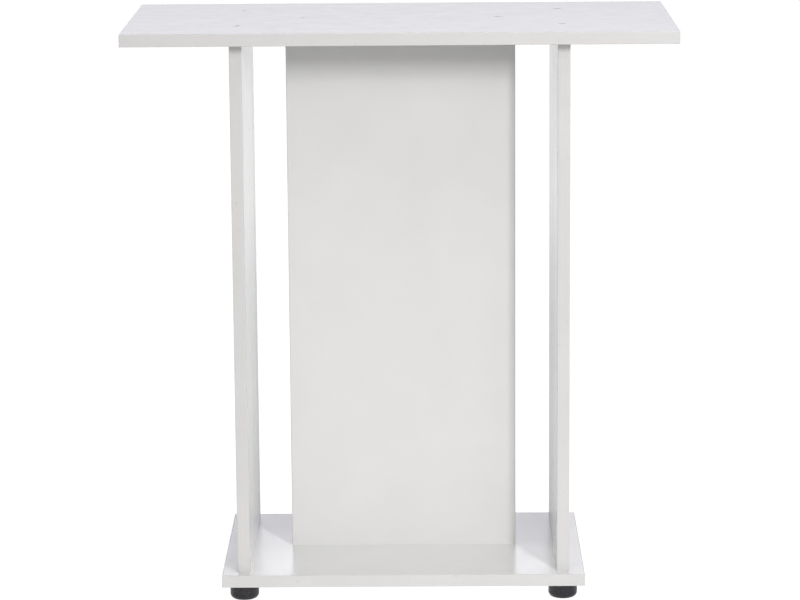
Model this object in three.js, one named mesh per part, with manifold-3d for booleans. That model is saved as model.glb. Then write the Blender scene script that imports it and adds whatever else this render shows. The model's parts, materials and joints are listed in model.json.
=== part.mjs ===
// Flat-pack stand for an aquarium: a top board on two uprights and a centre panel, over a base board
// on four levelling feet. Millimetres, +Z up. The front faces -Y, and the origin lies on the floor
// under the middle of the stand.
import * as THREE from 'three';
import { mergeVertices } from 'three/addons/utils/BufferGeometryUtils.js';
import Module from 'manifold-3d';

const wasm = await Module();
wasm.setup();

// ---- driving dimensions ----

const TOP_WIDTH = 700;
const TOP_DEPTH = 350;
const UPRIGHT_HEIGHT = 690;
const BOARD = 16;                 // thickness of every board
const BAND = 1;                   // thickness of the plastic edge bands
const BAND_ROUNDING = 0.8;        // radius of a band's two outer corners

const TOP_SIDE_OVERHANG = 135;    // from the uprights' outer faces to the top's ends
const TOP_FRONT_OVERHANG = 35;    // from the uprights' edges to the top's front and rear
const BASE_SIDE_MARGIN = 20;      // from the uprights' outer faces to the base's ends
const BASE_FRONT_MARGIN = 15;     // from the uprights' edges to the base's front and rear
const PANEL_GAP = 50;             // free slot between each upright and the centre panel

const FIT = 0.3;                  // clearance round every screw, dowel, insert and stem

// countersunk furniture screw with a hexagon socket
const SCREW_LENGTH = 50;
const SCREW_RADIUS = 3.5;
const SCREW_HEAD_RADIUS = 5;
const SCREW_HEAD_RIM = 1;         // straight part of the head, above its cone
const SCREW_SUNK = 0.2;           // how far the head lies below the board's face
const SCREW_TIP = 4;              // length of the tapered tip
const SCREW_TIP_RADIUS = 1.5;
const SOCKET_ACROSS_FLATS = 4;
const SOCKET_DEPTH = 3;
const UPRIGHT_SCREW_INSET = 53;   // from an upright's front or rear edge
const PANEL_SCREW_INSET = 22;     // from the panel's side edge

// wooden locating dowel
const DOWEL_RADIUS = 4;
const DOWEL_LENGTH = 30;
const DOWEL_COVER = 5;            // board left between a dowel's hole and the outer face
const DOWEL_CHAMFER = 1;
const DOWEL_END_GAP = 1;          // glue space at each end of a dowel

// levelling foot, at rest screwed right in
const FOOT_HEIGHT = 20;           // from the floor to the base board
const FOOT_GAP = 0.5;             // between the pad and the base board when screwed right in
const FOOT_EDGE_INSET = 25;       // from the base's front or rear edge to the foot's axis
const PAD_RADIUS = 18.75;
const PAD_SOLE_RADIUS = 12;       // flat middle of the sole
const PAD_ROUNDING = 7;           // height of the rounded lower part
const PAD_TOP_EDGE = 0.8;
const STEM_RADIUS = 4;
const STEM_CHAMFER = 1;
const STEM_END_GAP = 1;           // from the stem's tip to the bottom of its hole
const FLANGE_RADIUS = 7;          // the stem's round foot, moulded into the pad
const FLANGE_HEIGHT = 4;
const FLANGE_DEPTH = 12;          // from the pad's top face to the flange's underside
const INSERT_RADIUS = 5.5;        // threaded sleeve in the base board
const INSERT_COVER = 2;           // board left above the sleeve

const ROUND_SEGMENTS = 12;        // facets round screws, dowels and their holes
const FOOT_SEGMENTS = 24;         // facets round the feet
const PAD_ARC_STEPS = 6;
const BAND_CORNER_STEPS = 3;
const CUT_PAST = 1;               // how far a cutter reaches past the face that it opens

// ---- places worked out from them ----

const UPRIGHT_DEPTH = TOP_DEPTH - 2 * TOP_FRONT_OVERHANG;
const UPRIGHT_X = TOP_WIDTH / 2 - TOP_SIDE_OVERHANG - BOARD / 2;      // middle of an upright
const BASE_WIDTH = 2 * (UPRIGHT_X + BOARD / 2 + BASE_SIDE_MARGIN);
const BASE_DEPTH = UPRIGHT_DEPTH + 2 * BASE_FRONT_MARGIN;
const PANEL_WIDTH = 2 * (UPRIGHT_X - BOARD / 2 - PANEL_GAP);

const BASE_BOTTOM = FOOT_HEIGHT;
const BASE_TOP = BASE_BOTTOM + BOARD;
const TOP_BOTTOM = BASE_TOP + UPRIGHT_HEIGHT;
const TOP_TOP = TOP_BOTTOM + BOARD;
const UPRIGHT_MIDDLE = (BASE_TOP + TOP_BOTTOM) / 2;

const UPRIGHT_SCREW_Y = UPRIGHT_DEPTH / 2 - UPRIGHT_SCREW_INSET;
const PANEL_SCREW_X = PANEL_WIDTH / 2 - PANEL_SCREW_INSET;
const PANEL_DOWEL_X = PANEL_SCREW_X / 2;
const FOOT_Y = BASE_DEPTH / 2 - FOOT_EDGE_INSET;

const LEFT = -1;
const RIGHT = 1;
const FRONT = -1;
const REAR = 1;

// ---- materials ----

const finish = (color, roughness, metalness = 0) =>
  new THREE.MeshStandardMaterial({ color, roughness, metalness });
const whiteBoard = () => finish(0xe6e7e6, 0.38);
const whiteBand = () => finish(0xe2e3e1, 0.34);
const zincSteel = () => finish(0xb9bab8, 0.32, 1);
const beech = () => finish(0xcaa673, 0.8);
const brass = () => finish(0xb79a52, 0.4, 1);
const blackPlastic = () => finish(0x1d1c20, 0.42);

// ---- solids ----

// A closed geometry as a manifold solid. Triangles that a lathe folds flat on its axis are dropped.
function toSolid(geometry) {
  const bare = geometry.clone();
  bare.deleteAttribute('normal');
  bare.deleteAttribute('uv');
  const merged = mergeVertices(bare);
  const index = merged.index.array;
  const corners = [];
  for (let i = 0; i < index.length; i += 3) {
    const [a, b, c] = [index[i], index[i + 1], index[i + 2]];
    if (a !== b && b !== c && c !== a) corners.push(a, b, c);
  }
  return new wasm.Manifold(new wasm.Mesh({
    numProp: 3,
    vertProperties: new Float32Array(merged.attributes.position.array),
    triVerts: Uint32Array.from(corners),
  }));
}

function toGeometry(solid) {
  const mesh = solid.getMesh();
  const geometry = new THREE.BufferGeometry();
  geometry.setAttribute('position', new THREE.BufferAttribute(mesh.vertProperties, 3));
  geometry.setIndex(new THREE.BufferAttribute(mesh.triVerts, 1));
  geometry.computeVertexNormals();
  return geometry;
}

// A profile of [radius, height] pairs, listed from bottom to top, turned about +Z.
function turned(profile, segments) {
  const points = profile.map(([radius, height]) => new THREE.Vector2(radius, height));
  return new THREE.LatheGeometry(points, segments).rotateX(Math.PI / 2);
}

function rod(radius, bottom, top) {
  return turned([[0, bottom], [radius, bottom], [radius, top], [0, top]], ROUND_SEGMENTS);
}

// ---- parts ----

const stand = new THREE.Group();

function place(name, geometry, material, position) {
  const mesh = new THREE.Mesh(geometry, material);
  mesh.name = name;
  mesh.position.set(...position);
  stand.add(mesh);
  return mesh;
}

// A board of the given size, centred on a place, with holes made by geometries that stand where
// the stand's own parts do.
function board(name, size, centre, cutters) {
  let solid = toSolid(new THREE.BoxGeometry(...size));
  for (const cutter of cutters) {
    const local = cutter.clone().translate(-centre[0], -centre[1], -centre[2]);
    solid = solid.subtract(toSolid(local));
  }
  place(name, toGeometry(solid), whiteBoard(), centre);
}

// A band's section: flat where it is glued, rounded at its two outer corners.
function bandSection() {
  const half = BOARD / 2;
  const rounding = Math.min(BAND_ROUNDING, BAND);
  const shape = new THREE.Shape();
  shape.moveTo(0, -half);
  shape.lineTo(BAND - rounding, -half);
  shape.absarc(BAND - rounding, -half + rounding, rounding, -Math.PI / 2, 0);
  shape.absarc(BAND - rounding, half - rounding, rounding, 0, Math.PI / 2);
  shape.lineTo(0, half);
  shape.closePath();
  return shape;
}

// A strip along one edge. `glued` is the middle of the board's raw edge.
function band(name, length, glued, outward, along) {
  const geometry = new THREE.ExtrudeGeometry(bandSection(), {
    depth: length, bevelEnabled: false, curveSegments: BAND_CORNER_STEPS,
  });
  geometry.translate(0, 0, -length / 2);
  const out = new THREE.Vector3(...outward);
  const run = new THREE.Vector3(...along);
  const across = new THREE.Vector3().crossVectors(run, out);
  geometry.applyMatrix4(new THREE.Matrix4().makeBasis(out, across, run));
  place(name, geometry, whiteBand(), glued);
}

// The front and rear strips run the whole width and cover the ends of the side strips.
function bandHorizontalBoard(name, width, depth, middleZ) {
  const sideX = width / 2 - BAND;
  const frontY = depth / 2 - BAND;
  band(`${name}_band_front`, width, [0, -frontY, middleZ], [0, -1, 0], [1, 0, 0]);
  band(`${name}_band_rear`, width, [0, frontY, middleZ], [0, 1, 0], [1, 0, 0]);
  band(`${name}_band_left`, 2 * frontY, [-sideX, 0, middleZ], [-1, 0, 0], [0, 1, 0]);
  band(`${name}_band_right`, 2 * frontY, [sideX, 0, middleZ], [1, 0, 0], [0, 1, 0]);
}

// The screw's outline from its tip up to `top`, with the head's face at zero, grown by a clearance.
function screwProfile(grow, top) {
  const head = SCREW_HEAD_RADIUS + grow;
  const shank = SCREW_RADIUS + grow;
  return [
    [0, -SCREW_LENGTH - grow],
    [SCREW_TIP_RADIUS + grow, -SCREW_LENGTH - grow],
    [shank, -SCREW_LENGTH + SCREW_TIP],
    [shank, -SCREW_HEAD_RIM - (head - shank)],
    [head, -SCREW_HEAD_RIM],
    [head, top],
    [0, top],
  ];
}

function screwGeometry() {
  const hexagonRadius = SOCKET_ACROSS_FLATS / Math.sqrt(3);
  const depth = SOCKET_DEPTH + CUT_PAST;
  const socket = new THREE.CylinderGeometry(hexagonRadius, hexagonRadius, depth, 6);
  socket.rotateX(Math.PI / 2).translate(0, 0, CUT_PAST - depth / 2);
  return toGeometry(toSolid(turned(screwProfile(0, 0), ROUND_SEGMENTS)).subtract(toSolid(socket)));
}

// Every joint between a vertical board and the top or the base: [name, x, y].
const screwPlaces = [
  ['left_front', -UPRIGHT_X, -UPRIGHT_SCREW_Y],
  ['left_rear', -UPRIGHT_X, UPRIGHT_SCREW_Y],
  ['right_front', UPRIGHT_X, -UPRIGHT_SCREW_Y],
  ['right_rear', UPRIGHT_X, UPRIGHT_SCREW_Y],
  ['panel_left', -PANEL_SCREW_X, 0],
  ['panel_right', PANEL_SCREW_X, 0],
];
const dowelPlaces = [
  ['left', -UPRIGHT_X, 0],
  ['right', UPRIGHT_X, 0],
  ['panel_left', -PANEL_DOWEL_X, 0],
  ['panel_right', PANEL_DOWEL_X, 0],
];

const HEAD_TOP = TOP_TOP - SCREW_SUNK;
const HEAD_BASE = BASE_BOTTOM + SCREW_SUNK;
const DOWEL_IN_BOARD = BOARD - DOWEL_COVER - DOWEL_END_GAP;
const DOWEL_TOP_END = TOP_BOTTOM + DOWEL_IN_BOARD;
const DOWEL_BASE_END = BASE_TOP - DOWEL_IN_BOARD;

function addScrews() {
  for (const [name, x, y] of screwPlaces) {
    place(`top_screw_${name}`, screwGeometry(), zincSteel(), [x, y, HEAD_TOP]);
    const upward = place(`base_screw_${name}`, screwGeometry(), zincSteel(), [x, y, HEAD_BASE]);
    upward.rotation.x = Math.PI;
  }
}

function addDowels() {
  const end = DOWEL_RADIUS - DOWEL_CHAMFER;
  const profile = [
    [0, 0], [end, 0], [DOWEL_RADIUS, DOWEL_CHAMFER],
    [DOWEL_RADIUS, DOWEL_LENGTH - DOWEL_CHAMFER], [end, DOWEL_LENGTH], [0, DOWEL_LENGTH],
  ];
  for (const [name, x, y] of dowelPlaces) {
    const geometry = turned(profile, ROUND_SEGMENTS);
    place(`top_dowel_${name}`, geometry, beech(), [x, y, DOWEL_TOP_END - DOWEL_LENGTH]);
    place(`base_dowel_${name}`, geometry.clone(), beech(), [x, y, DOWEL_BASE_END]);
  }
}

// The holes for every screw and dowel of one joint line, picked by their names.
function jointHoles(matches) {
  const holes = [];
  for (const [, x, y] of screwPlaces.filter(([label]) => matches(label))) {
    const fromTop = turned(screwProfile(FIT, SCREW_SUNK + CUT_PAST), ROUND_SEGMENTS);
    const fromBase = fromTop.clone().rotateX(Math.PI);
    holes.push(fromTop.translate(x, y, HEAD_TOP), fromBase.translate(x, y, HEAD_BASE));
  }
  const reach = DOWEL_LENGTH + 2 * DOWEL_END_GAP;
  for (const [, x, y] of dowelPlaces.filter(([label]) => matches(label))) {
    const hole = rod(DOWEL_RADIUS + FIT, 0, reach);
    holes.push(hole.clone().translate(x, y, DOWEL_TOP_END + DOWEL_END_GAP - reach));
    holes.push(hole.translate(x, y, DOWEL_BASE_END - DOWEL_END_GAP));
  }
  return holes;
}

// ---- levelling feet ----

const footPlaces = [
  ['front_left', LEFT, FRONT], ['front_right', RIGHT, FRONT],
  ['rear_left', LEFT, REAR], ['rear_right', RIGHT, REAR],
].map(([name, side, end]) => [name, side * UPRIGHT_X, end * FOOT_Y]);

const PAD_TOP = FOOT_HEIGHT - FOOT_GAP;
const INSERT_TOP = BASE_TOP - INSERT_COVER;
const STEM_TOP = INSERT_TOP - STEM_END_GAP;
const FLANGE_BOTTOM = PAD_TOP - FLANGE_DEPTH;
const FLANGE_TOP = FLANGE_BOTTOM + FLANGE_HEIGHT;

// The stem and its round foot, outlined from bottom to top and grown by a clearance.
function stemProfile(grow, top) {
  const flange = FLANGE_RADIUS + grow;
  const stem = STEM_RADIUS + grow;
  return [
    [0, FLANGE_BOTTOM - grow], [flange, FLANGE_BOTTOM - grow],
    [flange, FLANGE_TOP + grow], [stem, FLANGE_TOP + grow], [stem, top],
  ];
}

// A domed pad: a straight side above an elliptical rounding that ends in a flat sole.
function padGeometry() {
  const outline = [[0, 0]];
  for (let step = 0; step <= PAD_ARC_STEPS; step += 1) {
    const angle = step / PAD_ARC_STEPS * Math.PI / 2;
    const radius = PAD_SOLE_RADIUS + (PAD_RADIUS - PAD_SOLE_RADIUS) * Math.sin(angle);
    outline.push([radius, PAD_ROUNDING * (1 - Math.cos(angle))]);
  }
  outline.push([PAD_RADIUS, PAD_TOP - PAD_TOP_EDGE], [PAD_RADIUS - PAD_TOP_EDGE, PAD_TOP], [0, PAD_TOP]);
  const pocketTop = PAD_TOP + CUT_PAST;
  const pocket = turned([...stemProfile(FIT, pocketTop), [0, pocketTop]], FOOT_SEGMENTS);
  return toGeometry(toSolid(turned(outline, FOOT_SEGMENTS)).subtract(toSolid(pocket)));
}

function addFeet() {
  const tip = STEM_RADIUS - STEM_CHAMFER;
  const stem = [...stemProfile(0, STEM_TOP - STEM_CHAMFER), [tip, STEM_TOP], [0, STEM_TOP]];
  const bore = STEM_RADIUS + FIT;
  const sleeve = [
    [bore, BASE_BOTTOM], [INSERT_RADIUS, BASE_BOTTOM],
    [INSERT_RADIUS, INSERT_TOP], [bore, INSERT_TOP], [bore, BASE_BOTTOM],
  ];
  for (const [name, x, y] of footPlaces) {
    place(`foot_pad_${name}`, padGeometry(), blackPlastic(), [x, y, 0]);
    place(`foot_stem_${name}`, turned(stem, FOOT_SEGMENTS), zincSteel(), [x, y, 0]);
    place(`foot_insert_${name}`, turned(sleeve, FOOT_SEGMENTS), brass(), [x, y, 0]);
  }
}

function footHoles() {
  const below = BASE_BOTTOM - CUT_PAST;
  const radius = INSERT_RADIUS + FIT;
  const profile = [[0, below], [radius, below], [radius, INSERT_TOP], [0, INSERT_TOP]];
  return footPlaces.map(([, x, y]) => turned(profile, FOOT_SEGMENTS).translate(x, y, 0));
}

// ---- boards ----

function addTop() {
  const middle = TOP_BOTTOM + BOARD / 2;
  const size = [TOP_WIDTH - 2 * BAND, TOP_DEPTH - 2 * BAND, BOARD];
  board('top_board', size, [0, 0, middle], jointHoles(() => true));
  bandHorizontalBoard('top', TOP_WIDTH, TOP_DEPTH, middle);
}

function addBase() {
  const middle = BASE_BOTTOM + BOARD / 2;
  const size = [BASE_WIDTH - 2 * BAND, BASE_DEPTH - 2 * BAND, BOARD];
  board('base_board', size, [0, 0, middle], [...jointHoles(() => true), ...footHoles()]);
  bandHorizontalBoard('base', BASE_WIDTH, BASE_DEPTH, middle);
}

function addUpright(name, side) {
  const x = side * UPRIGHT_X;
  const edge = UPRIGHT_DEPTH / 2 - BAND;
  const size = [BOARD, 2 * edge, UPRIGHT_HEIGHT];
  board(`${name}_upright`, size, [x, 0, UPRIGHT_MIDDLE], jointHoles((label) => label.startsWith(name)));
  for (const [where, end] of [['front', FRONT], ['rear', REAR]]) {
    const glued = [x, end * edge, UPRIGHT_MIDDLE];
    band(`${name}_upright_band_${where}`, UPRIGHT_HEIGHT, glued, [0, end, 0], [0, 0, 1]);
  }
}

function addPanel() {
  const edge = PANEL_WIDTH / 2 - BAND;
  const size = [2 * edge, BOARD, UPRIGHT_HEIGHT];
  board('centre_panel', size, [0, 0, UPRIGHT_MIDDLE], jointHoles((label) => label.startsWith('panel')));
  for (const [where, side] of [['left', LEFT], ['right', RIGHT]]) {
    band(`panel_band_${where}`, UPRIGHT_HEIGHT, [side * edge, 0, UPRIGHT_MIDDLE], [side, 0, 0], [0, 0, 1]);
  }
}

addTop();
addBase();
addUpright('left', LEFT);
addUpright('right', RIGHT);
addPanel();
addScrews();
addDowels();
addFeet();

export default stand;
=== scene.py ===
"""White flat-pack aquarium stand on black levelling feet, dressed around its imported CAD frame.

Metres, +Z up, the front faces -Y. Every place comes from the frame's own boxes.
"""
import json
import math

import bmesh
import bpy
from mathutils import Matrix, Vector


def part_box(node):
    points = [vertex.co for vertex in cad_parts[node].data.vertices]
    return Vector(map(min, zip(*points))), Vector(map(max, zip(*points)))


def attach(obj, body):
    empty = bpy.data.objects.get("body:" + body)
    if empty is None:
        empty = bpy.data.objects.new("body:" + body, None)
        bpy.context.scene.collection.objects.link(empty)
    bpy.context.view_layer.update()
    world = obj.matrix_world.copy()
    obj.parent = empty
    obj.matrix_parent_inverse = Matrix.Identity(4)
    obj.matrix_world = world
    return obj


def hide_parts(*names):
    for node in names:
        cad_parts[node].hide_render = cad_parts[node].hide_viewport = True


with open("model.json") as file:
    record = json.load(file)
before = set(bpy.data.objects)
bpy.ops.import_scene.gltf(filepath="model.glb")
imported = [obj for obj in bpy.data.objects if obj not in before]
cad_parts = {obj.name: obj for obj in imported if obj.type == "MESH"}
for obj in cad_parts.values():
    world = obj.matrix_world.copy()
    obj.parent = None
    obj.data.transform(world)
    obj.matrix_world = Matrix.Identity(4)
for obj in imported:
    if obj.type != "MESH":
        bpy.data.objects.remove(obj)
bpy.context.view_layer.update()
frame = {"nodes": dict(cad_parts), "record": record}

MM = 0.001
BODIES = frame["record"]["behaviour"]["bodies"]
BODY_OF = {node: body for body, nodes in BODIES.items() for node in nodes}

# ---- camera ----

CAMERA_PLACE = Vector((0.0309, -4.2663, 1.2188))
CAMERA_DOWN = math.radians(11.28)
CAMERA_YAW = math.radians(-0.455)
CAMERA_ROLL = math.radians(0.435)
CAMERA_LENS = 148.33                   # millimetres, for the sensor below
CAMERA_SENSOR = 36.0
CAMERA_REACH = 100.0                   # far clip

# ---- light ----

SOFTBOX_TARGET = Vector((0.0, 0.0, 0.70))
SOFTBOX_DISTANCE = 3.0
# Each softbox: azimuth to the right of the front, elevation, width, height, power
SOFTBOXES = {
    "key_softbox": (25, 15.5, 0.24, 0.46, 37.5),
    "key_spill": (10, 25.0, 0.30, 0.30, 4.5),
}
KEY_COLOUR = (1.0, 0.99, 1.0)
OVERHEAD_PLACE = Vector((0.0, -1.0, 3.4))
OVERHEAD_SIZE = (3.4, 3.0)
OVERHEAD_POWER = 48.5
OVERHEAD_COLOUR = (0.985, 0.98, 1.0)

# The room's light in front of the stand and behind it: levels at the sine of some elevations
ROOM_FRONT = [(0.0, 0.50), (0.35, 0.70), (0.70, 0.72), (0.80, 0.0)]
ROOM_BACK = [(0.0, 0.86), (0.19, 0.86), (0.23, 2.5), (0.33, 2.5), (0.38, 0.45), (0.75, 0.1)]
ROOM_PEAK = 3.0                        # above every level, since a colour ramp holds no more than 1
ROOM_FRONT_COLOUR = (1.0, 0.96, 0.90)
ROOM_BACK_COLOUR = (0.985, 0.98, 1.05)
# Each side's light starts and is full at these parts of the way towards the front or the rear
ROOM_STARTS = 0.45
ROOM_FULL = 0.85
WHITE = (1.0, 1.0, 1.0, 1.0)           # what the camera sees past the floor

FLOOR_RADIUS = 14.0
FLOOR_ALBEDO = 0.5
FLOOR_MOTTLE = 0.97                    # the darker patches' share of that
FLOOR_SHOWN = 0.9                      # its glow as the camera sees it, for a clean white floor
# The floor's glow as the stand sees it, at some distances behind the stand's middle
FLOOR_GLOW = [(-1.3, 0.0), (-0.7, 0.45), (0.3, 0.50), (1.0, 0.59), (1.5, 0.60), (2.0, 0.68), (3.0, 0.95)]
FLOOR_GLOW_SPAN = 4.0                  # the list reaches no further than this, to front or rear

# ---- fine shape ----

BOARD_CHAMFER = 0.12 * MM
BOARD_SHARP = 25                       # degrees between faces, from which an edge stays sharp
FIT = 0.3 * MM                         # clearance round screws, dowels, stems and sleeves
HEAD_FIT = 0.04 * MM                   # a screw's head is pressed into the board
HOLE_SEGMENTS = 48
CUT_PAST = 1.0 * MM                    # how far a cutter reaches past the face that it opens

BAND_ROUNDING = 0.8 * MM
BAND_ROUNDING_STEPS = 5
BAND_SUPPORT = 1.3 * MM                # from a band's side to the edge loop beside its rounding
BAND_SHARP = 40

SCREW_SEGMENTS = 24
SCREW_SHANK_RADIUS = 3.5 * MM
SCREW_HEAD_RIM = 1.0 * MM
SCREW_SHANK_END = 17.0 * MM            # below the head's face
SCREW_CORE_RADIUS = 2.5 * MM
SCREW_PITCH = 3.0 * MM
SCREW_TIP = 4.0 * MM
SCREW_TIP_RADIUS = 1.5 * MM
SCREW_POINT = 0.5 * MM
SCREW_LAST_CREST = 0.2                 # height of the last crest, as a share of the others
SCREW_HEAD_EDGE = 0.3 * MM
SOCKET_APOTHEM = 2.0 * MM              # from the socket's middle to a flat
SOCKET_DEPTH = 3.0 * MM
SOCKET_LIP = 0.25 * MM
SOCKET_DRILL_POINT = 0.6 * MM          # cone below the socket's flats
THREAD_STEPS = 8                       # rows of points to each turn of a thread
ROUND_SHARP = 35

STEM_SEGMENTS = 32
STEM_RADIUS = 4.0 * MM
STEM_ROOT_RADIUS = 3.35 * MM
STEM_PITCH = 1.25 * MM
STEM_PLAIN = 1.0 * MM                  # plain part between the flange and the thread
STEM_END = 1.0 * MM                    # chamfered end, above the thread
STEM_TIP_RADIUS = 3.0 * MM
STEM_SHARP = 40
FLANGE_HEIGHT = 4.0 * MM
FLANGE_EDGE = 0.3 * MM

PAD_SEGMENTS = 96
PAD_SOLE_RADIUS = 12.0 * MM
PAD_ROUNDING = 7.0 * MM
PAD_ROUNDING_STEPS = 16
PAD_WORN_STEPS = 3                     # how far up its rounding a pad is rubbed
PAD_TOP_EDGE = 0.8 * MM
PAD_TOP_EDGE_STEPS = 4
PAD_DRAFT = 0.06 * MM                  # how much narrower a pad is above its mould's parting line
PARTING_LINE_RISE = 0.5 * MM           # from the rounding's top to the parting line
PARTING_LINE_HEIGHT = 0.8 * MM
PARTING_LINE_BEAD = 0.01 * MM
PAD_MOUTH = 0.5 * MM                   # chamfer round the stem's hole
PAD_TOP_LOOP = 0.5 * MM                # from the top's rounded edge to the edge loop beside it
PAD_SOLE_EDGE = 0.4 * MM               # from the sole's rim to the edge loop inside it
GATE_RADIUS = 1.5 * MM                 # mark of the mould's gate, in the sole
GATE_SLOPE = 0.3 * MM
GATE_DEPTH = 0.25 * MM

INSERT_KNURLS = 24
KNURL_DEPTH = 0.3 * MM
KNURL_RUN_OUT = 0.2 * MM
INSERT_PLAIN = 1.0 * MM                # plain collar at the mouth
INSERT_TAPER = 1.0 * MM
INSERT_EDGE = 0.5 * MM

DOWEL_SEGMENTS = 48
DOWEL_FLUTES = 12
DOWEL_FLUTE_DEPTH = 0.25 * MM
DOWEL_CHAMFER = 1.0 * MM
DOWEL_END_GAP = 1.0 * MM


# ---- node helpers ----

COLOUR_A, COLOUR_B, MIXED_COLOUR = 6, 7, 2      # sockets of a Mix node that mixes colours


def add_node(tree, kind, inputs=None, **settings):
    """A shader node. An input is either another node's output or a plain value."""
    made = tree.nodes.new(kind)
    for name, value in settings.items():
        setattr(made, name, value)
    for name, value in (inputs or {}).items():
        if isinstance(value, bpy.types.NodeSocket):
            tree.links.new(value, made.inputs[name])
        else:
            made.inputs[name].default_value = value
    return made


def new_material(name):
    material = bpy.data.materials.new(name)
    material.use_nodes = True
    tree = material.node_tree
    place = add_node(tree, "ShaderNodeTexCoord").outputs["Object"]
    return material, tree, tree.nodes["Principled BSDF"], place


def noise(tree, place, scale, detail=3.0, roughness=0.5, stretch=None):
    if stretch:
        place = add_node(tree, "ShaderNodeMapping", {"Vector": place, "Scale": stretch}).outputs["Vector"]
    inputs = {"Vector": place, "Scale": scale, "Detail": detail, "Roughness": roughness}
    return add_node(tree, "ShaderNodeTexNoise", inputs).outputs["Fac"]


def ramp(tree, factor, stops):
    """Colour stops, each (position, (r, g, b))."""
    made = add_node(tree, "ShaderNodeValToRGB", {"Fac": factor})
    elements = made.color_ramp.elements
    while len(elements) < len(stops):
        elements.new(0.5)
    for element, (position, colour) in zip(elements, stops):
        element.position = position
        element.color = (*colour, 1.0)
    return made.outputs["Color"]


def spread(tree, value, low, high, from_low=0.3, from_high=0.7):
    """Maps a noise value to a range."""
    inputs = {"Value": value, "From Min": from_low, "From Max": from_high, "To Min": low, "To Max": high}
    return add_node(tree, "ShaderNodeMapRange", inputs).outputs["Result"]


def bump(tree, height, distance, strength=1.0, under=None):
    inputs = {"Height": height, "Distance": distance, "Strength": strength}
    if under is not None:
        inputs["Normal"] = under
    return add_node(tree, "ShaderNodeBump", inputs).outputs["Normal"]


def math_node(tree, operation, first, second):
    return add_node(tree, "ShaderNodeMath", {0: first, 1: second}, operation=operation).outputs["Value"]


def mix_colour(tree, factor, first, second):
    """The first colour, a node's output, going over to the second, a plain one, with the factor."""
    inputs = {"Factor": factor, COLOUR_A: first, COLOUR_B: (*second, 1.0)}
    return add_node(tree, "ShaderNodeMix", inputs, data_type="RGBA").outputs[MIXED_COLOUR]


def edge_wear(tree, place, scale, detail, most, from_low, from_high):
    """How worn each spot is: patches along the edges that the mesh marks."""
    edge = add_node(tree, "ShaderNodeAttribute", attribute_name="edge").outputs["Fac"]
    scuff = noise(tree, place, scale, detail=detail, roughness=0.7)
    return math_node(tree, "MULTIPLY", edge, spread(tree, scuff, 0.0, most, from_low, from_high))


def feed(tree, shader, **sockets):
    for name, source in sockets.items():
        tree.links.new(source, shader.inputs[name.replace("_", " ")])


# ---- materials ----

def melamine_material():
    """Satin white melamine: a fine pearl grain, faint mottling and the long ripple of pressed board."""
    material, tree, shader, place = new_material("white_melamine")
    mottle = noise(tree, place, 14, detail=4)
    colour = ramp(tree, mottle, [(0.3, (0.775, 0.778, 0.770)), (0.7, (0.800, 0.803, 0.797))])
    speck = spread(tree, noise(tree, place, 2600, detail=1), 0.0, 0.05, 0.62, 0.75)
    colour = mix_colour(tree, speck, colour, (0.66, 0.66, 0.65))
    rough = spread(tree, noise(tree, place, 40, detail=5, roughness=0.6), 0.20, 0.25)
    ripple = bump(tree, noise(tree, place, 22, detail=2), 0.00003, 0.4)
    pearl = bump(tree, noise(tree, place, 900, detail=2), 0.00004, 0.35, ripple)
    feed(tree, shader, Base_Color=colour, Roughness=rough, Normal=pearl)
    shader.inputs["Specular IOR Level"].default_value = 0.42
    return material


def edge_band_material():
    """White plastic edging: a shade darker than the boards, scraped smooth and scuffed at its corners."""
    material, tree, shader, place = new_material("white_edge_band")
    tone = noise(tree, place, 18, detail=4)
    colour = ramp(tree, tone, [(0.3, (0.712, 0.712, 0.705)), (0.7, (0.738, 0.738, 0.732))])
    worn = edge_wear(tree, place, 260, 6, 0.35, 0.52, 0.68)
    colour = mix_colour(tree, worn, colour, (0.56, 0.56, 0.55))
    rough = spread(tree, noise(tree, place, 70, detail=4), 0.27, 0.36)
    scrape = bump(tree, noise(tree, place, 700, detail=2), 0.00003, 0.3)
    feed(tree, shader, Base_Color=colour, Roughness=rough, Normal=scrape)
    return material


def chipboard_material():
    """Raw chipboard: flat flakes of several browns with dark resin between them."""
    material, tree, shader, place = new_material("raw_chipboard")
    flakes = add_node(tree, "ShaderNodeTexVoronoi", {"Vector": place, "Scale": 620.0, "Randomness": 1.0})
    tint = add_node(tree, "ShaderNodeSeparateColor", {"Color": flakes.outputs["Color"]}).outputs["Red"]
    browns = [(0.0, (0.30, 0.19, 0.10)), (0.5, (0.47, 0.33, 0.19)), (1.0, (0.62, 0.47, 0.29))]
    resin = spread(tree, flakes.outputs["Distance"], 0.0, 0.5, 0.35, 0.8)
    colour = mix_colour(tree, resin, ramp(tree, tint, browns), (0.16, 0.10, 0.05))
    rough = spread(tree, tint, 0.7, 0.95, 0.0, 1.0)
    relief = bump(tree, flakes.outputs["Distance"], 0.0003, 0.6)
    feed(tree, shader, Base_Color=colour, Roughness=rough, Normal=relief)
    return material


def zinc_material():
    """Bright zinc plate with faint turning marks."""
    material, tree, shader, place = new_material("zinc_steel")
    cloud = noise(tree, place, 500, detail=4)
    colour = ramp(tree, cloud, [(0.3, (0.60, 0.60, 0.60)), (0.7, (0.72, 0.72, 0.71))])
    rough = spread(tree, noise(tree, place, 1500, detail=3), 0.24, 0.40)
    marks = bump(tree, noise(tree, place, 1200, detail=2, stretch=(1, 1, 6)), 0.00003, 0.4)
    feed(tree, shader, Base_Color=colour, Roughness=rough, Normal=marks)
    shader.inputs["Metallic"].default_value = 1.0
    return material


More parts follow.
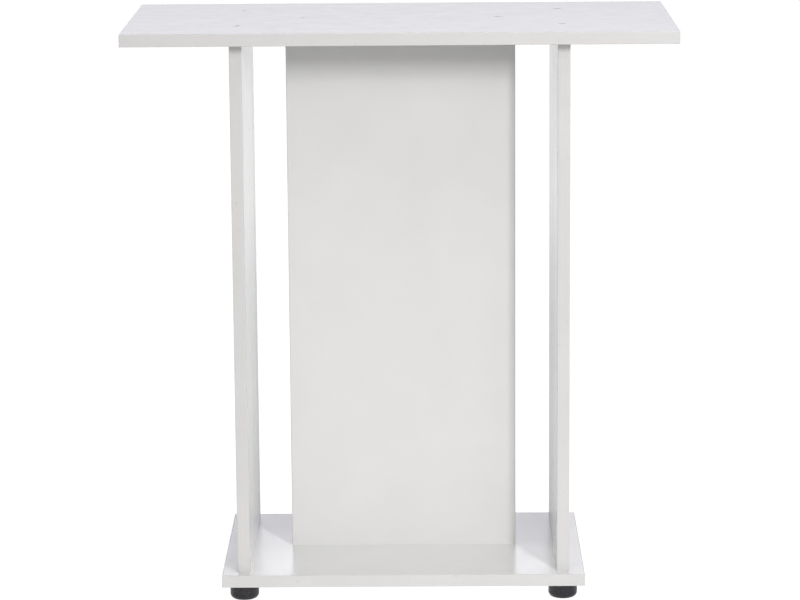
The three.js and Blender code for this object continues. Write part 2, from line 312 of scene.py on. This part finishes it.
def brass_material():
    """Plain turned brass, a little dulled."""
    material, tree, shader, place = new_material("brass_insert")
    cloud = noise(tree, place, 400, detail=4)
    colour = ramp(tree, cloud, [(0.3, (0.55, 0.41, 0.17)), (0.7, (0.70, 0.55, 0.27))])
    rough = spread(tree, noise(tree, place, 900, detail=3), 0.30, 0.45)
    marks = bump(tree, noise(tree, place, 1500, detail=2), 0.00002, 0.4)
    feed(tree, shader, Base_Color=colour, Roughness=rough, Normal=marks)
    shader.inputs["Metallic"].default_value = 1.0
    return material


def beech_material():
    """Bare beech with its long grain and short dark flecks."""
    material, tree, shader, place = new_material("beech")
    grain = noise(tree, place, 260, detail=5, stretch=(1, 1, 0.12))
    colour = ramp(tree, grain, [(0.3, (0.56, 0.38, 0.22)), (0.7, (0.72, 0.54, 0.35))])
    fleck = spread(tree, noise(tree, place, 900, detail=2, stretch=(1, 1, 0.2)), 0.0, 0.6, 0.6, 0.72)
    colour = mix_colour(tree, fleck, colour, (0.36, 0.21, 0.11))
    rough = spread(tree, grain, 0.65, 0.85)
    relief = bump(tree, grain, 0.00008, 0.6)
    feed(tree, shader, Base_Color=colour, Roughness=rough, Normal=relief)
    return material


def black_plastic_material():
    """Moulded black plastic: a fine eroded grain, greyer where the edges rub."""
    material, tree, shader, place = new_material("black_plastic")
    tone = noise(tree, place, 120, detail=4)
    colour = ramp(tree, tone, [(0.3, (0.012, 0.011, 0.015)), (0.7, (0.019, 0.017, 0.024))])
    worn = edge_wear(tree, place, 700, 5, 0.7, 0.45, 0.65)
    colour = mix_colour(tree, worn, colour, (0.11, 0.11, 0.115))
    rough = spread(tree, noise(tree, place, 300, detail=3), 0.24, 0.36)
    grain = bump(tree, noise(tree, place, 1800, detail=2), 0.00005, 0.5)
    feed(tree, shader, Base_Color=colour, Roughness=rough, Normal=grain)
    return material


MELAMINE = melamine_material()
EDGE_BAND = edge_band_material()
CHIPBOARD = chipboard_material()
ZINC = zinc_material()
BRASS = brass_material()
BEECH = beech_material()
BLACK_PLASTIC = black_plastic_material()


# ---- mesh helpers ----

def finish_mesh(mesh, materials, sharp_degrees):
    for material in materials:
        mesh.materials.append(material)
    mesh.shade_smooth()
    mesh.set_sharp_from_angle(angle=math.radians(sharp_degrees))
    return mesh


def new_piece(name, mesh, place=(0, 0, 0)):
    piece = bpy.data.objects.new(name, mesh)
    piece.location = place
    bpy.context.scene.collection.objects.link(piece)
    return piece


def stand_for(piece, node):
    """Puts a piece in the place of a CAD node: on its body, with the node hidden."""
    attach(piece, BODY_OF[node])
    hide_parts(node)


def nodes_with(text):
    return [node for node in frame["nodes"] if text in node]


def middle(node):
    low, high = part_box(node)
    return (low + high) / 2


def ring_of_points(radius, height, segments):
    """Points round +Z. The radius may be a function of the angle."""
    points = []
    for step in range(segments):
        angle = 2 * math.pi * step / segments
        r = radius(angle) if callable(radius) else radius
        points.append((r * math.cos(angle), r * math.sin(angle), height))
    return points


def closed_mesh(name, vertices, faces, edge=None):
    """A mesh with outward normals. `edge` is a wear value for each vertex."""
    mesh = bpy.data.meshes.new(name)
    mesh.from_pydata(vertices, [], faces)
    shape = bmesh.new()
    shape.from_mesh(mesh)
    bmesh.ops.recalc_face_normals(shape, faces=shape.faces)
    shape.to_mesh(mesh)
    shape.free()
    if edge:
        attribute = mesh.attributes.new("edge", "FLOAT", "POINT")
        attribute.data.foreach_set("value", edge)
    return mesh


def turned_mesh(name, rows, segments):
    """Rows of (radius, height) or (radius, height, wear) turned about +Z, from one pole to the other.

    The first and last rows are single points on the axis.
    """
    vertices, faces, edge, rings = [], [], [], []
    for row in rows:
        radius, height, wear = (*row, 0.0)[:3]
        points = [(0, 0, height)] if radius == 0 else ring_of_points(radius, height, segments)
        rings.append(range(len(vertices), len(vertices) + len(points)))
        vertices += points
        edge += [wear] * len(points)
    for below, above in zip(rings, rings[1:]):
        for step in range(segments):
            after = (step + 1) % segments
            if len(below) == 1:
                faces.append((below[0], above[after], above[step]))
            elif len(above) == 1:
                faces.append((below[step], below[after], above[0]))
            else:
                faces.append((below[step], below[after], above[after], above[step]))
    return closed_mesh(name, vertices, faces, edge)


def ring_mesh(name, rows, segments):
    """Rows of (radius, height) turned about +Z whose last row joins the first, as in a sleeve."""
    vertices, faces = [], []
    for radius, height in rows:
        vertices += ring_of_points(radius, height, segments)
    for row in range(len(rows)):
        first, second = row * segments, (row + 1) % len(rows) * segments
        for step in range(segments):
            after = (step + 1) % segments
            faces.append((first + step, first + after, second + after, second + step))
    return closed_mesh(name, vertices, faces)


# ---- boards ----

FACE, RAW = 0, 1                       # a board's materials: its faces, and its edges and holes
FACE_TILT = 0.3                        # how far a face or its chamfer looks along the board's thickness


def box_mesh(name, low, high, thin_axis):
    """A board's body with fine chamfers."""
    shape = bmesh.new()
    bmesh.ops.create_cube(shape, size=1.0)
    size = high - low
    bmesh.ops.scale(shape, vec=size, verts=shape.verts)
    bmesh.ops.translate(shape, vec=(low + high) / 2, verts=shape.verts)
    bmesh.ops.bevel(shape, geom=shape.edges[:], offset=BOARD_CHAMFER, segments=1, affect="EDGES")
    for face in shape.faces:
        face.normal_update()
        face.material_index = FACE if abs(face.normal[thin_axis]) > FACE_TILT else RAW
    mesh = bpy.data.meshes.new(name)
    shape.to_mesh(mesh)
    shape.free()
    return mesh


def cutter_mesh(name, rows, place, upward):
    """A hole's shape with its mouth at the place, opening upward or downward."""
    mesh = turned_mesh(name, rows, HOLE_SEGMENTS)
    turn = Matrix.Identity(4) if upward else Matrix.Rotation(math.pi, 4, "X")
    mesh.transform(Matrix.Translation(place) @ turn)
    for polygon in mesh.polygons:
        polygon.material_index = RAW
    return mesh


def screw_cutter(node):
    """A countersunk hole. Screws go in from above at the top, and from below at the base."""
    low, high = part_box(node)
    depth, head = high.z - low.z + FIT, (high.x - low.x) / 2 + HEAD_FIT
    shank = SCREW_SHANK_RADIUS + FIT
    rows = [
        (0, -depth), (shank, -depth), (shank, -SCREW_HEAD_RIM - head + shank), (head, -SCREW_HEAD_RIM),
        (head, 0), (head, CUT_PAST), (0, CUT_PAST),
    ]
    upward = node.startswith("top_")
    centre = (low + high) / 2
    return cutter_mesh("cut", rows, Vector((centre.x, centre.y, high.z if upward else low.z)), upward)


def dowel_cutter(node):
    low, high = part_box(node)
    r, half = (high.x - low.x) / 2 + FIT, (high.z - low.z) / 2 + DOWEL_END_GAP
    return cutter_mesh("cut", [(0, -half), (r, -half), (r, half), (0, half)], (low + high) / 2, True)


def sleeve_cutter(node):
    low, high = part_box(node)
    r, mouth = (high.x - low.x) / 2 + FIT, low.z - CUT_PAST
    centre = (low + high) / 2
    rows = [(0, mouth), (r, mouth), (r, high.z), (0, high.z)]
    return cutter_mesh("cut", rows, Vector((centre.x, centre.y, 0)), True)


CUTTERS = {"_screw_": screw_cutter, "_dowel_": dowel_cutter, "foot_insert_": sleeve_cutter}


def boxes_meet(first, second):
    first_low, first_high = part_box(first)
    second_low, second_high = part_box(second)
    return all(first_high[i] >= second_low[i] and first_low[i] <= second_high[i] for i in range(3))


def hole_cutters(board):
    """Cutters for every screw, dowel and foot sleeve that enters a board."""
    cutters = []
    for node in frame["nodes"]:
        for word, make_cutter in CUTTERS.items():
            if word in node and boxes_meet(node, board):
                cutters.append(make_cutter(node))
    return cutters


def cut(piece, cutters):
    """Takes the cutters out of a piece for good."""
    shape = bmesh.new()
    for mesh in cutters:
        shape.from_mesh(mesh)
        bpy.data.meshes.remove(mesh)
    joined = bpy.data.meshes.new("cutters")
    shape.to_mesh(joined)
    shape.free()
    tool = new_piece("cutters", joined)
    modifier = piece.modifiers.new("holes", "BOOLEAN")
    modifier.operation = "DIFFERENCE"
    modifier.solver = "EXACT"
    modifier.object = tool
    bpy.context.view_layer.update()
    graph = bpy.context.evaluated_depsgraph_get()
    result = bpy.data.meshes.new_from_object(piece.evaluated_get(graph))
    piece.modifiers.clear()
    piece.data = result
    bpy.data.objects.remove(tool)
    bpy.data.meshes.remove(joined)


def make_board(node, thin_axis):
    mesh = box_mesh(node, *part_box(node), thin_axis)
    mesh.materials.append(MELAMINE)
    mesh.materials.append(CHIPBOARD)
    piece = new_piece(f"{node}_faced", mesh)
    cut(piece, hole_cutters(node))
    finish_mesh(piece.data, [], BOARD_SHARP)
    stand_for(piece, node)


# ---- edge bands ----

def band_section(half, thickness):
    """Points (outward, across, wear) round a band's section: glued side flat, two corners rounded."""
    r = BAND_ROUNDING
    points = [(0.0, -half, 0.0), (0.0, half, 0.0)]
    for step in range(BAND_ROUNDING_STEPS + 1):
        angle = math.pi / 2 * (1 - step / BAND_ROUNDING_STEPS)
        points.append((thickness - r + r * math.cos(angle), half - r + r * math.sin(angle), 1.0))
    points.append((thickness, half - BAND_SUPPORT, 0.0))
    points.append((thickness, -half + BAND_SUPPORT, 0.0))
    for step in range(BAND_ROUNDING_STEPS + 1):
        angle = -math.pi / 2 * step / BAND_ROUNDING_STEPS
        points.append((thickness - r + r * math.cos(angle), -half + r + r * math.sin(angle), 1.0))
    return points


def band_stations(length, rounded_ends):
    """(distance along, how much of the outer side the end's rounding takes away)."""
    if not rounded_ends:
        return [(0.0, 0.0), (length / 2, 0.0), (length, 0.0)]
    r = BAND_ROUNDING
    start = []
    for step in range(BAND_ROUNDING_STEPS + 1):
        angle = math.pi / 2 * step / BAND_ROUNDING_STEPS
        start.append((r * (1 - math.cos(angle)), r * (1 - math.sin(angle))))
    start.append((BAND_SUPPORT, 0.0))
    finish = [(length - along, taken) for along, taken in reversed(start)]
    return start + [(length / 2, 0.0)] + finish


def make_band(node, outward, along, rounded_ends):
    """A strip of edging. Its glued side is flat, and the corners round its outer side are rounded."""
    low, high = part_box(node)
    centre, size = (low + high) / 2, high - low
    outward, along = Vector(outward), Vector(along)
    across = along.cross(outward)
    thickness, length, width = (abs(direction.dot(size)) for direction in (outward, along, across))
    start = centre - outward * thickness / 2 - along * length / 2
    section = band_section(width / 2, thickness)
    vertices, faces, edge = [], [], []
    count = len(section)
    stations = band_stations(length, rounded_ends)
    for distance, taken in stations:
        for out, side, wear in section:
            vertices.append(start + along * distance + outward * min(out, thickness - taken) + across * side)
            edge.append(1.0 if taken > 0 and out > 0 else wear)
    for row in range(len(stations) - 1):
        for i in range(count):
            j = (i + 1) % count
            a, b = row * count, (row + 1) * count
            faces.append((a + i, a + j, b + j, b + i))
    faces.append(tuple(range(count)))
    faces.append(tuple((len(stations) - 1) * count + i for i in range(count)))
    mesh = finish_mesh(closed_mesh(node, vertices, faces, edge), [EDGE_BAND], BAND_SHARP)
    stand_for(new_piece(f"{node}_edging", mesh), node)


# ---- screws, dowels, feet ----

def thread_wave(turns):
    """0 at a thread's root and 1 at its crest, for a position counted in turns."""
    return 1 - abs(2 * (turns % 1.0) - 1)


def socket_outline(grow):
    """The radius of a screw's hexagon socket, by angle."""
    third = math.pi / 3
    return lambda angle: (SOCKET_APOTHEM + grow) / math.cos(angle % third - third / 2)


def screw_thread(depth, crest):
    """The radius of a screw at a depth, by angle: sharp crests on a straight core."""
    return lambda angle: SCREW_CORE_RADIUS + crest * thread_wave(
        depth / SCREW_PITCH + angle / (2 * math.pi)) ** 2


def screw_mesh():
    """A furniture screw: hexagon socket, countersunk head, plain shank and coarse thread."""
    low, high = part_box("top_screw_left_front")
    length, head = high.z - low.z, (high.x - low.x) / 2
    rows = [
        (0, -SOCKET_DEPTH - SOCKET_DRILL_POINT), (socket_outline(-SOCKET_LIP), -SOCKET_DEPTH),
        (socket_outline(0), -SOCKET_DEPTH + SOCKET_LIP), (socket_outline(0), -SOCKET_LIP),
        (socket_outline(SOCKET_LIP), 0), (head - SCREW_HEAD_EDGE, 0, 1), (head, -SCREW_HEAD_EDGE, 1),
        (head, -SCREW_HEAD_RIM, 1), (SCREW_SHANK_RADIUS, -SCREW_HEAD_RIM - (head - SCREW_SHANK_RADIUS)),
        (SCREW_SHANK_RADIUS, -SCREW_SHANK_END),
    ]
    threaded = length - SCREW_TIP - SCREW_SHANK_END
    count = int(threaded / SCREW_PITCH * THREAD_STEPS)
    for step in range(1, count + 1):
        depth = SCREW_SHANK_END + threaded * step / count
        rise = min(1.0, (count - step) / THREAD_STEPS + SCREW_LAST_CREST)
        rows.append((screw_thread(depth, (SCREW_SHANK_RADIUS - SCREW_CORE_RADIUS) * rise), -depth))
    rows += [(SCREW_TIP_RADIUS, -length + SCREW_POINT), (0, -length)]
    return finish_mesh(turned_mesh("furniture_screw", rows, SCREW_SEGMENTS), [ZINC], ROUND_SHARP)


def make_screws():
    mesh = screw_mesh()
    for node in nodes_with("_screw_"):
        low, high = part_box(node)
        centre = (low + high) / 2
        if node.startswith("top_"):
            piece = new_piece(f"{node}_threaded", mesh, (centre.x, centre.y, high.z))
        else:
            piece = new_piece(f"{node}_threaded", mesh, (centre.x, centre.y, low.z))
            piece.rotation_euler = (math.pi, 0, 0)
        stand_for(piece, node)


def dowel_mesh():
    """A wooden dowel with glue flutes and chamfered ends, its height counted from its lower end."""
    low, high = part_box("top_dowel_left")
    radius, length = (high.x - low.x) / 2, high.z - low.z
    fluted = lambda angle: radius - DOWEL_FLUTE_DEPTH * max(0.0, math.cos(DOWEL_FLUTES * angle)) ** 4
    end = radius - DOWEL_CHAMFER
    rows = [
        (0, 0), (end, 0), (fluted, DOWEL_CHAMFER), (fluted, length / 2), (fluted, length - DOWEL_CHAMFER),
        (end, length), (0, length),
    ]
    return finish_mesh(turned_mesh("fluted_dowel", rows, DOWEL_SEGMENTS), [BEECH], ROUND_SHARP)


def make_dowels():
    mesh = dowel_mesh()
    for node in nodes_with("_dowel_"):
        low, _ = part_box(node)
        centre = middle(node)
        stand_for(new_piece(f"{node}_fluted", mesh, (centre.x, centre.y, low.z)), node)


def pad_sole_rows(radius):
    """A pad's flat sole, with its gate mark, and its elliptical rounding."""
    rows = [
        (0, GATE_DEPTH), (GATE_RADIUS - GATE_SLOPE, GATE_DEPTH), (GATE_RADIUS, 0),
        (PAD_SOLE_RADIUS - PAD_SOLE_EDGE, 0, 0.6),
    ]
    for step in range(PAD_ROUNDING_STEPS + 1):
        angle = math.pi / 2 * step / PAD_ROUNDING_STEPS
        r = PAD_SOLE_RADIUS + (radius - PAD_SOLE_RADIUS) * math.sin(angle)
        rows.append((r, PAD_ROUNDING * (1 - math.cos(angle)), 1.0 if step < PAD_WORN_STEPS else 0.0))
    return rows


def pad_side_rows(radius, top):
    """A pad's side, a little narrower above the parting line, and its rounded top edge."""
    side, line = radius - PAD_DRAFT, PAD_ROUNDING + PARTING_LINE_RISE
    rows = [
        (radius, line), (side, line + 2 * PAD_DRAFT), (side + PARTING_LINE_BEAD, line + PARTING_LINE_HEIGHT),
        (side, top - PAD_TOP_EDGE - PAD_TOP_EDGE / 2),
    ]
    for step in range(PAD_TOP_EDGE_STEPS + 1):
        angle = math.pi / 2 * step / PAD_TOP_EDGE_STEPS
        r = side - PAD_TOP_EDGE * (1 - math.cos(angle))
        rows.append((r, top - PAD_TOP_EDGE * (1 - math.sin(angle)), 1.0))
    return rows


def pad_mesh():
    """A foot pad: sole, side, flat top and the pocket that holds the stem's flange."""
    low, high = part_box("foot_pad_front_left")
    stem_low, stem_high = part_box("foot_stem_front_left")
    radius, top = (high.x - low.x) / 2, high.z
    flange = (stem_high.x - stem_low.x) / 2 + FIT
    pocket_floor = stem_low.z - FIT
    pocket_step = stem_low.z + FLANGE_HEIGHT + FIT
    bore = STEM_RADIUS + FIT
    rows = pad_sole_rows(radius) + pad_side_rows(radius, top) + [
        (radius - PAD_DRAFT - PAD_TOP_EDGE - PAD_TOP_LOOP, top), (bore + PAD_MOUTH, top),
        (bore, top - PAD_MOUTH), (bore, pocket_step), (flange, pocket_step), (flange, pocket_floor),
        (0, pocket_floor),
    ]
    return finish_mesh(turned_mesh("foot_pad", rows, PAD_SEGMENTS), [BLACK_PLASTIC], ROUND_SHARP)


def stem_thread(height, depth):
    """The radius of a stem at a height, by angle, where its thread is cut to a depth."""
    return lambda angle: STEM_RADIUS - depth * (
        1 - thread_wave(height / STEM_PITCH - angle / (2 * math.pi)))


def stem_mesh():
    """An M8 stud on a round flange, its height counted from the floor."""
    low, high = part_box("foot_stem_front_left")
    flange, shoulder = (high.x - low.x) / 2, low.z + FLANGE_HEIGHT
    first, last = shoulder + STEM_PLAIN, high.z - STEM_END
    rows = [
        (0, low.z), (flange - FLANGE_EDGE, low.z), (flange, low.z + FLANGE_EDGE),
        (flange, shoulder - FLANGE_EDGE), (flange - FLANGE_EDGE, shoulder), (STEM_RADIUS, shoulder),
        (STEM_RADIUS, first),
    ]
    count = int((last - first) / STEM_PITCH * THREAD_STEPS)
    for step in range(1, count + 1):
        depth = (STEM_RADIUS - STEM_ROOT_RADIUS) * min(1.0, step / THREAD_STEPS)
        height = first + (last - first) * step / count
        rows.append((stem_thread(height, depth), height))
    rows += [(STEM_TIP_RADIUS, high.z), (0, high.z)]
    return finish_mesh(turned_mesh("foot_stem", rows, STEM_SEGMENTS), [ZINC], STEM_SHARP)


def insert_mesh():
    """A knurled press-in sleeve with a countersunk mouth at its lower end."""
    low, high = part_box("foot_insert_front_left")
    radius, bore = (high.x - low.x) / 2, STEM_RADIUS + FIT
    knurl = lambda angle: radius - KNURL_DEPTH * (0.5 - 0.5 * math.cos(INSERT_KNURLS * angle))
    plain = low.z + INSERT_PLAIN
    rows = [
        (bore + INSERT_EDGE, low.z), (radius, low.z), (radius, plain), (knurl, plain + KNURL_RUN_OUT),
        (knurl, high.z - INSERT_TAPER), (radius - INSERT_EDGE, high.z), (bore, high.z),
        (bore, low.z + INSERT_EDGE),
    ]
    return finish_mesh(ring_mesh("foot_insert", rows, PAD_SEGMENTS), [BRASS], ROUND_SHARP)


def make_feet():
    kinds = [
        ("pad", pad_mesh(), "moulded", "black_plastic"),
        ("stem", stem_mesh(), "threaded", "zinc_steel"),
        ("insert", insert_mesh(), "knurled", "brass_insert"),
    ]
    for kind, mesh, word, slot in kinds:
        for node in nodes_with(f"foot_{kind}_"):
            centre = middle(node)
            stand_for(new_piece(f"{node}_{word}", mesh, (centre.x, centre.y, 0)), node)


# ---- stage ----

def level_by_place(tree, place, levels, low, high, peak=1.0):
    """A value that follows (place, level) pairs, for places from low to high and levels up to the peak."""
    share = spread(tree, place, 0.0, 1.0, low, high)
    stops = [((at - low) / (high - low), (level / peak,) * 3) for at, level in levels]
    return math_node(tree, "MULTIPLY", ramp(tree, share, stops), peak)


def is_camera_ray(tree):
    return add_node(tree, "ShaderNodeLightPath").outputs["Is Camera Ray"]


def floor_material():
    """A pale studio floor that glows a little, more so far behind the stand, as a lit backdrop does."""
    material, tree, shader, place = new_material("studio_floor")
    tone = noise(tree, place, 3, detail=4)
    colour = ramp(tree, tone, [(0.3, (FLOOR_MOTTLE * FLOOR_ALBEDO,) * 3), (0.7, (FLOOR_ALBEDO,) * 3)])
    behind = add_node(tree, "ShaderNodeSeparateXYZ", {"Vector": place}).outputs["Y"]
    glow = level_by_place(tree, behind, FLOOR_GLOW, -FLOOR_GLOW_SPAN, FLOOR_GLOW_SPAN)
    light = add_node(tree, "ShaderNodeMix", {"Factor": is_camera_ray(tree), "A": glow, "B": FLOOR_SHOWN})
    feed(tree, shader, Base_Color=colour, Emission_Strength=light.outputs["Result"])
    shader.inputs["Emission Color"].default_value = WHITE
    shader.inputs["Roughness"].default_value = 0.9
    shader.inputs["Specular IOR Level"].default_value = 0.1
    return material


def make_floor():
    shape = bmesh.new()
    bmesh.ops.create_circle(shape, cap_ends=True, radius=FLOOR_RADIUS, segments=128)
    mesh = bpy.data.meshes.new("studio_floor")
    shape.to_mesh(mesh)
    shape.free()
    mesh.materials.append(floor_material())
    new_piece("studio_floor", mesh)


def area_light(name, place, target, size, power, colour):
    data = bpy.data.lights.new(name, "AREA")
    data.shape = "RECTANGLE"
    data.size, data.size_y = size
    data.energy = power
    data.color = colour
    light = bpy.data.objects.new(name, data)
    light.location = place
    light.rotation_euler = (target - place).to_track_quat("-Z", "Y").to_euler()
    light.visible_camera = False
    bpy.context.scene.collection.objects.link(light)


def direction_to(azimuth, elevation):
    """A unit vector, from degrees to the right of the front and above the horizon."""
    a, e = math.radians(azimuth), math.radians(elevation)
    return Vector((math.sin(a) * math.cos(e), -math.cos(a) * math.cos(e), math.sin(e)))


def make_lights():
    for name, (azimuth, elevation, width, height, power) in SOFTBOXES.items():
        place = SOFTBOX_TARGET + direction_to(azimuth, elevation) * SOFTBOX_DISTANCE
        area_light(name, place, SOFTBOX_TARGET, (width, height), power, KEY_COLOUR)
    area_light("overhead_softbox", OVERHEAD_PLACE, Vector(), OVERHEAD_SIZE, OVERHEAD_POWER, OVERHEAD_COLOUR)


def background(tree, colour, strength):
    inputs = {"Color": colour, "Strength": strength}
    return add_node(tree, "ShaderNodeBackground", inputs).outputs["Background"]


def room_side(tree, parts, levels, colour, towards):
    """The light from one side of the room: towards is -1 for the front and 1 for the rear."""
    level = level_by_place(tree, parts.outputs["Z"], levels, 0.0, 1.0, ROOM_PEAK)
    starts, full = towards * ROOM_STARTS, towards * ROOM_FULL
    inputs = {"Value": parts.outputs["Y"], "From Min": starts, "From Max": full}
    side = add_node(tree, "ShaderNodeMapRange", inputs, interpolation_type="SMOOTHSTEP").outputs["Result"]
    return background(tree, (*colour, 1.0), math_node(tree, "MULTIPLY", level, side))


def make_room():
    """World light: one set of levels in front of the stand, another behind it, white for the camera."""
    world = bpy.data.worlds.new("studio_room")
    bpy.context.scene.world = world
    world.use_nodes = True
    tree = world.node_tree
    direction = add_node(tree, "ShaderNodeTexCoord").outputs["Generated"]
    parts = add_node(tree, "ShaderNodeSeparateXYZ", {"Vector": direction})
    front = room_side(tree, parts, ROOM_FRONT, ROOM_FRONT_COLOUR, -1)
    rear = room_side(tree, parts, ROOM_BACK, ROOM_BACK_COLOUR, 1)
    both = add_node(tree, "ShaderNodeAddShader", {0: front, 1: rear}).outputs["Shader"]
    inputs = {0: is_camera_ray(tree), 1: both, 2: background(tree, WHITE, 1.0)}
    shown = add_node(tree, "ShaderNodeMixShader", inputs).outputs["Shader"]
    tree.links.new(shown, tree.nodes["World Output"].inputs["Surface"])


def make_camera():
    ahead = Vector((math.sin(CAMERA_YAW), math.cos(CAMERA_YAW), 0))
    forward = ahead * math.cos(CAMERA_DOWN) - Vector((0, 0, math.sin(CAMERA_DOWN)))
    level = Vector((math.cos(CAMERA_YAW), -math.sin(CAMERA_YAW), 0))
    down = forward.cross(level)
    right = level * math.cos(CAMERA_ROLL) + down * math.sin(CAMERA_ROLL)
    up = level * math.sin(CAMERA_ROLL) - down * math.cos(CAMERA_ROLL)
    data = bpy.data.cameras.new("camera")
    data.lens = CAMERA_LENS
    data.sensor_width = CAMERA_SENSOR
    data.clip_end = CAMERA_REACH
    camera = bpy.data.objects.new("camera", data)
    turn = Matrix((right, up, -forward)).transposed().to_4x4()
    camera.matrix_world = Matrix.Translation(CAMERA_PLACE) @ turn
    bpy.context.scene.collection.objects.link(camera)
    bpy.context.scene.camera = camera


# ---- the stand ----

X, Y, Z = (1, 0, 0), (0, 1, 0), (0, 0, 1)
THIN_X, THIN_Y, THIN_Z = 0, 1, 2       # a board's thin axis


def opposite(direction):
    return tuple(-part for part in direction)


def make_boards():
    make_board("top_board", THIN_Z)
    make_board("base_board", THIN_Z)
    make_board("left_upright", THIN_X)
    make_board("right_upright", THIN_X)
    make_board("centre_panel", THIN_Y)


def make_bands():
    for board in ("top", "base"):
        make_band(f"{board}_band_front", opposite(Y), X, True)
        make_band(f"{board}_band_rear", Y, X, True)
        make_band(f"{board}_band_left", opposite(X), Y, False)
        make_band(f"{board}_band_right", X, Y, False)
    for upright in ("left_upright", "right_upright"):
        make_band(f"{upright}_band_front", opposite(Y), Z, False)
        make_band(f"{upright}_band_rear", Y, Z, False)
    make_band("panel_band_left", opposite(X), Z, False)
    make_band("panel_band_right", X, Z, False)


make_camera()
make_floor()
make_lights()
make_room()
make_boards()
make_bands()
make_screws()
make_dowels()
make_feet()

bpy.context.scene.view_settings.view_transform = "Standard"

bpy.context.view_layer.update()
